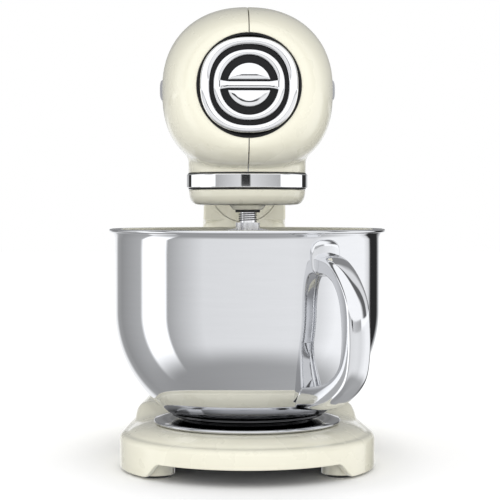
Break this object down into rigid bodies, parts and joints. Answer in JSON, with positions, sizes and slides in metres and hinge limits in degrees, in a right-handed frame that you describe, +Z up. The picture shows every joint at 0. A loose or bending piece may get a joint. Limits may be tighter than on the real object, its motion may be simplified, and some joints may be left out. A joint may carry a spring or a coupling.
{
  "type": "stand mixer",
  "caption": "Tilt-head stand mixer: planetary drive with a flat beater over a steel bowl with a side handle, on a round-fronted cast stand.",
  "frame": {"origin": "on the resting plane under the middle of the bounding box", "axes": "+Z up, -Y to the front where the bowl stands, +X to the right seen from the front"},
  "size_m": [0.223, 0.4075, 0.3756],
  "materials": {
    "enamel": "warm cream gloss enamel",
    "chrome": "polished chrome plate",
    "polished_steel": "mirror polished stainless steel",
    "steel": "machined steel",
    "spring_steel": "bright spring wire",
    "die_cast": "die cast aluminium",
    "cast_aluminium": "polished cast aluminium",
    "bronze": "sintered bronze",
    "copper": "lacquered copper winding",
    "rubber": "matt black rubber",
    "dark_plastic": "black moulded plastic",
    "carbon": "pressed carbon",
    "board": "green circuit board"
  },
  "bodies": {
    "base": {"stand_casting": "enamel", "bottom_cover": "dark_plastic", "cover_screws": "steel", "rubber_feet": "rubber", "bowl_seat": "steel", "cord_gland": "rubber", "hinge_pin": "steel", "release_bezel": "chrome", "tilt_switch": "dark_plastic"},
    "release": {"release_button": "chrome", "release_rod": "steel", "release_spring": "spring_steel"},
    "bowl": {"bowl_shell": "polished_steel", "bowl_foot": "polished_steel", "bowl_handle": "polished_steel"},
    "head": {"head_shell_left": "enamel", "head_shell_right": "enamel", "head_trims": "chrome", "chrome_band": "chrome", "band_gaskets": "rubber", "ring_gear": "steel", "head_frame": "die_cast", "hinge_bushes": "bronze", "bearings": "bronze", "front_well": "dark_plastic", "hub_housing": "die_cast", "motor_bells": "die_cast", "motor_can": "steel", "stator": "steel", "field_coils": "copper", "brush_holders": "bronze", "carbon_brushes": "carbon", "speed_switch": "dark_plastic", "control_board": "board"},
    "front_cap": {"cap_dish": "dark_plastic", "cap_ring": "chrome", "cap_grille": "chrome"},
    "speed_control": {"speed_lever": "steel", "lever_knob": "chrome"},
    "rotor": {"rotor_shaft": "steel", "armature": "steel", "armature_windings": "copper", "commutator": "copper", "cooling_fan": "dark_plastic", "motor_pinion": "steel"},
    "main_drive": {"main_gear": "steel", "main_shaft": "steel", "hub_socket": "steel", "bevel_pinion": "steel"},
    "planetary": {"bevel_gear": "steel", "planetary_shaft": "steel", "shaft_nut": "steel", "planetary_disc": "enamel", "spindle_bearings": "bronze", "spindle_seal": "rubber"},
    "spindle": {"tool_shaft": "chrome", "drive_pin": "steel", "shaft_spring": "spring_steel", "planet_pinion": "steel"},
    "beater": {"flat_beater": "cast_aluminium"}
  },
  "joints": [
    {"name": "head_tilt", "type": "hinge", "parent": "base", "child": "head", "pos_m": [0, 0.0943, 0.215], "axis": [-1, 0, 0], "range_deg": [0, 45]},
    {"name": "release_press", "type": "slide", "parent": "base", "child": "release", "axis": [0, -1, 0], "range_m": [0, 0.004], "stiffness_N_per_m": 1200, "springref_m": -0.004, "deforming": ["release_spring"]},
    {"name": "bowl_twist", "type": "hinge", "parent": "base", "child": "bowl", "pos_m": [0, -0.0707, 0], "axis": [0, 0, 1], "range_deg": [0, 38]},
    {"name": "cap_pull", "type": "slide", "parent": "head", "child": "front_cap", "axis": [0, -1, 0], "range_m": [0, 0.04]},
    {"name": "speed_turn", "type": "hinge", "parent": "head", "child": "speed_control", "pos_m": [0, 0.1153, 0.323], "axis": [0, 1, 0], "range_deg": [0, 36]},
    {"name": "planetary_spin", "type": "hinge", "parent": "head", "child": "planetary", "pos_m": [0, -0.0707, 0.25], "axis": [0, 0, 1], "continuous": true},
    {"name": "spindle_spin", "type": "hinge", "parent": "planetary", "child": "spindle", "pos_m": [0, -0.0947, 0.2], "axis": [0, 0, 1], "continuous": true},
    {"name": "main_spin", "type": "hinge", "parent": "head", "child": "main_drive", "pos_m": [0, -0.0707, 0.302], "axis": [0, 1, 0], "continuous": true},
    {"name": "rotor_spin", "type": "hinge", "parent": "head", "child": "rotor", "pos_m": [0, -0.0707, 0.3272], "axis": [0, 1, 0], "continuous": true},
    {"name": "beater_push", "type": "slide", "parent": "spindle", "child": "beater", "axis": [0, 0, 1], "range_m": [0, 0.0035], "stiffness_N_per_m": 1500, "springref_m": -0.006, "deforming": ["shaft_spring"]}
  ],
  "couplings": [
    {"joint": "spindle_spin", "follows": "planetary_spin", "ratio": -2.875},
    {"joint": "main_spin", "follows": "planetary_spin", "ratio": 2},
    {"joint": "rotor_spin", "follows": "planetary_spin", "ratio": -6}
  ]
}
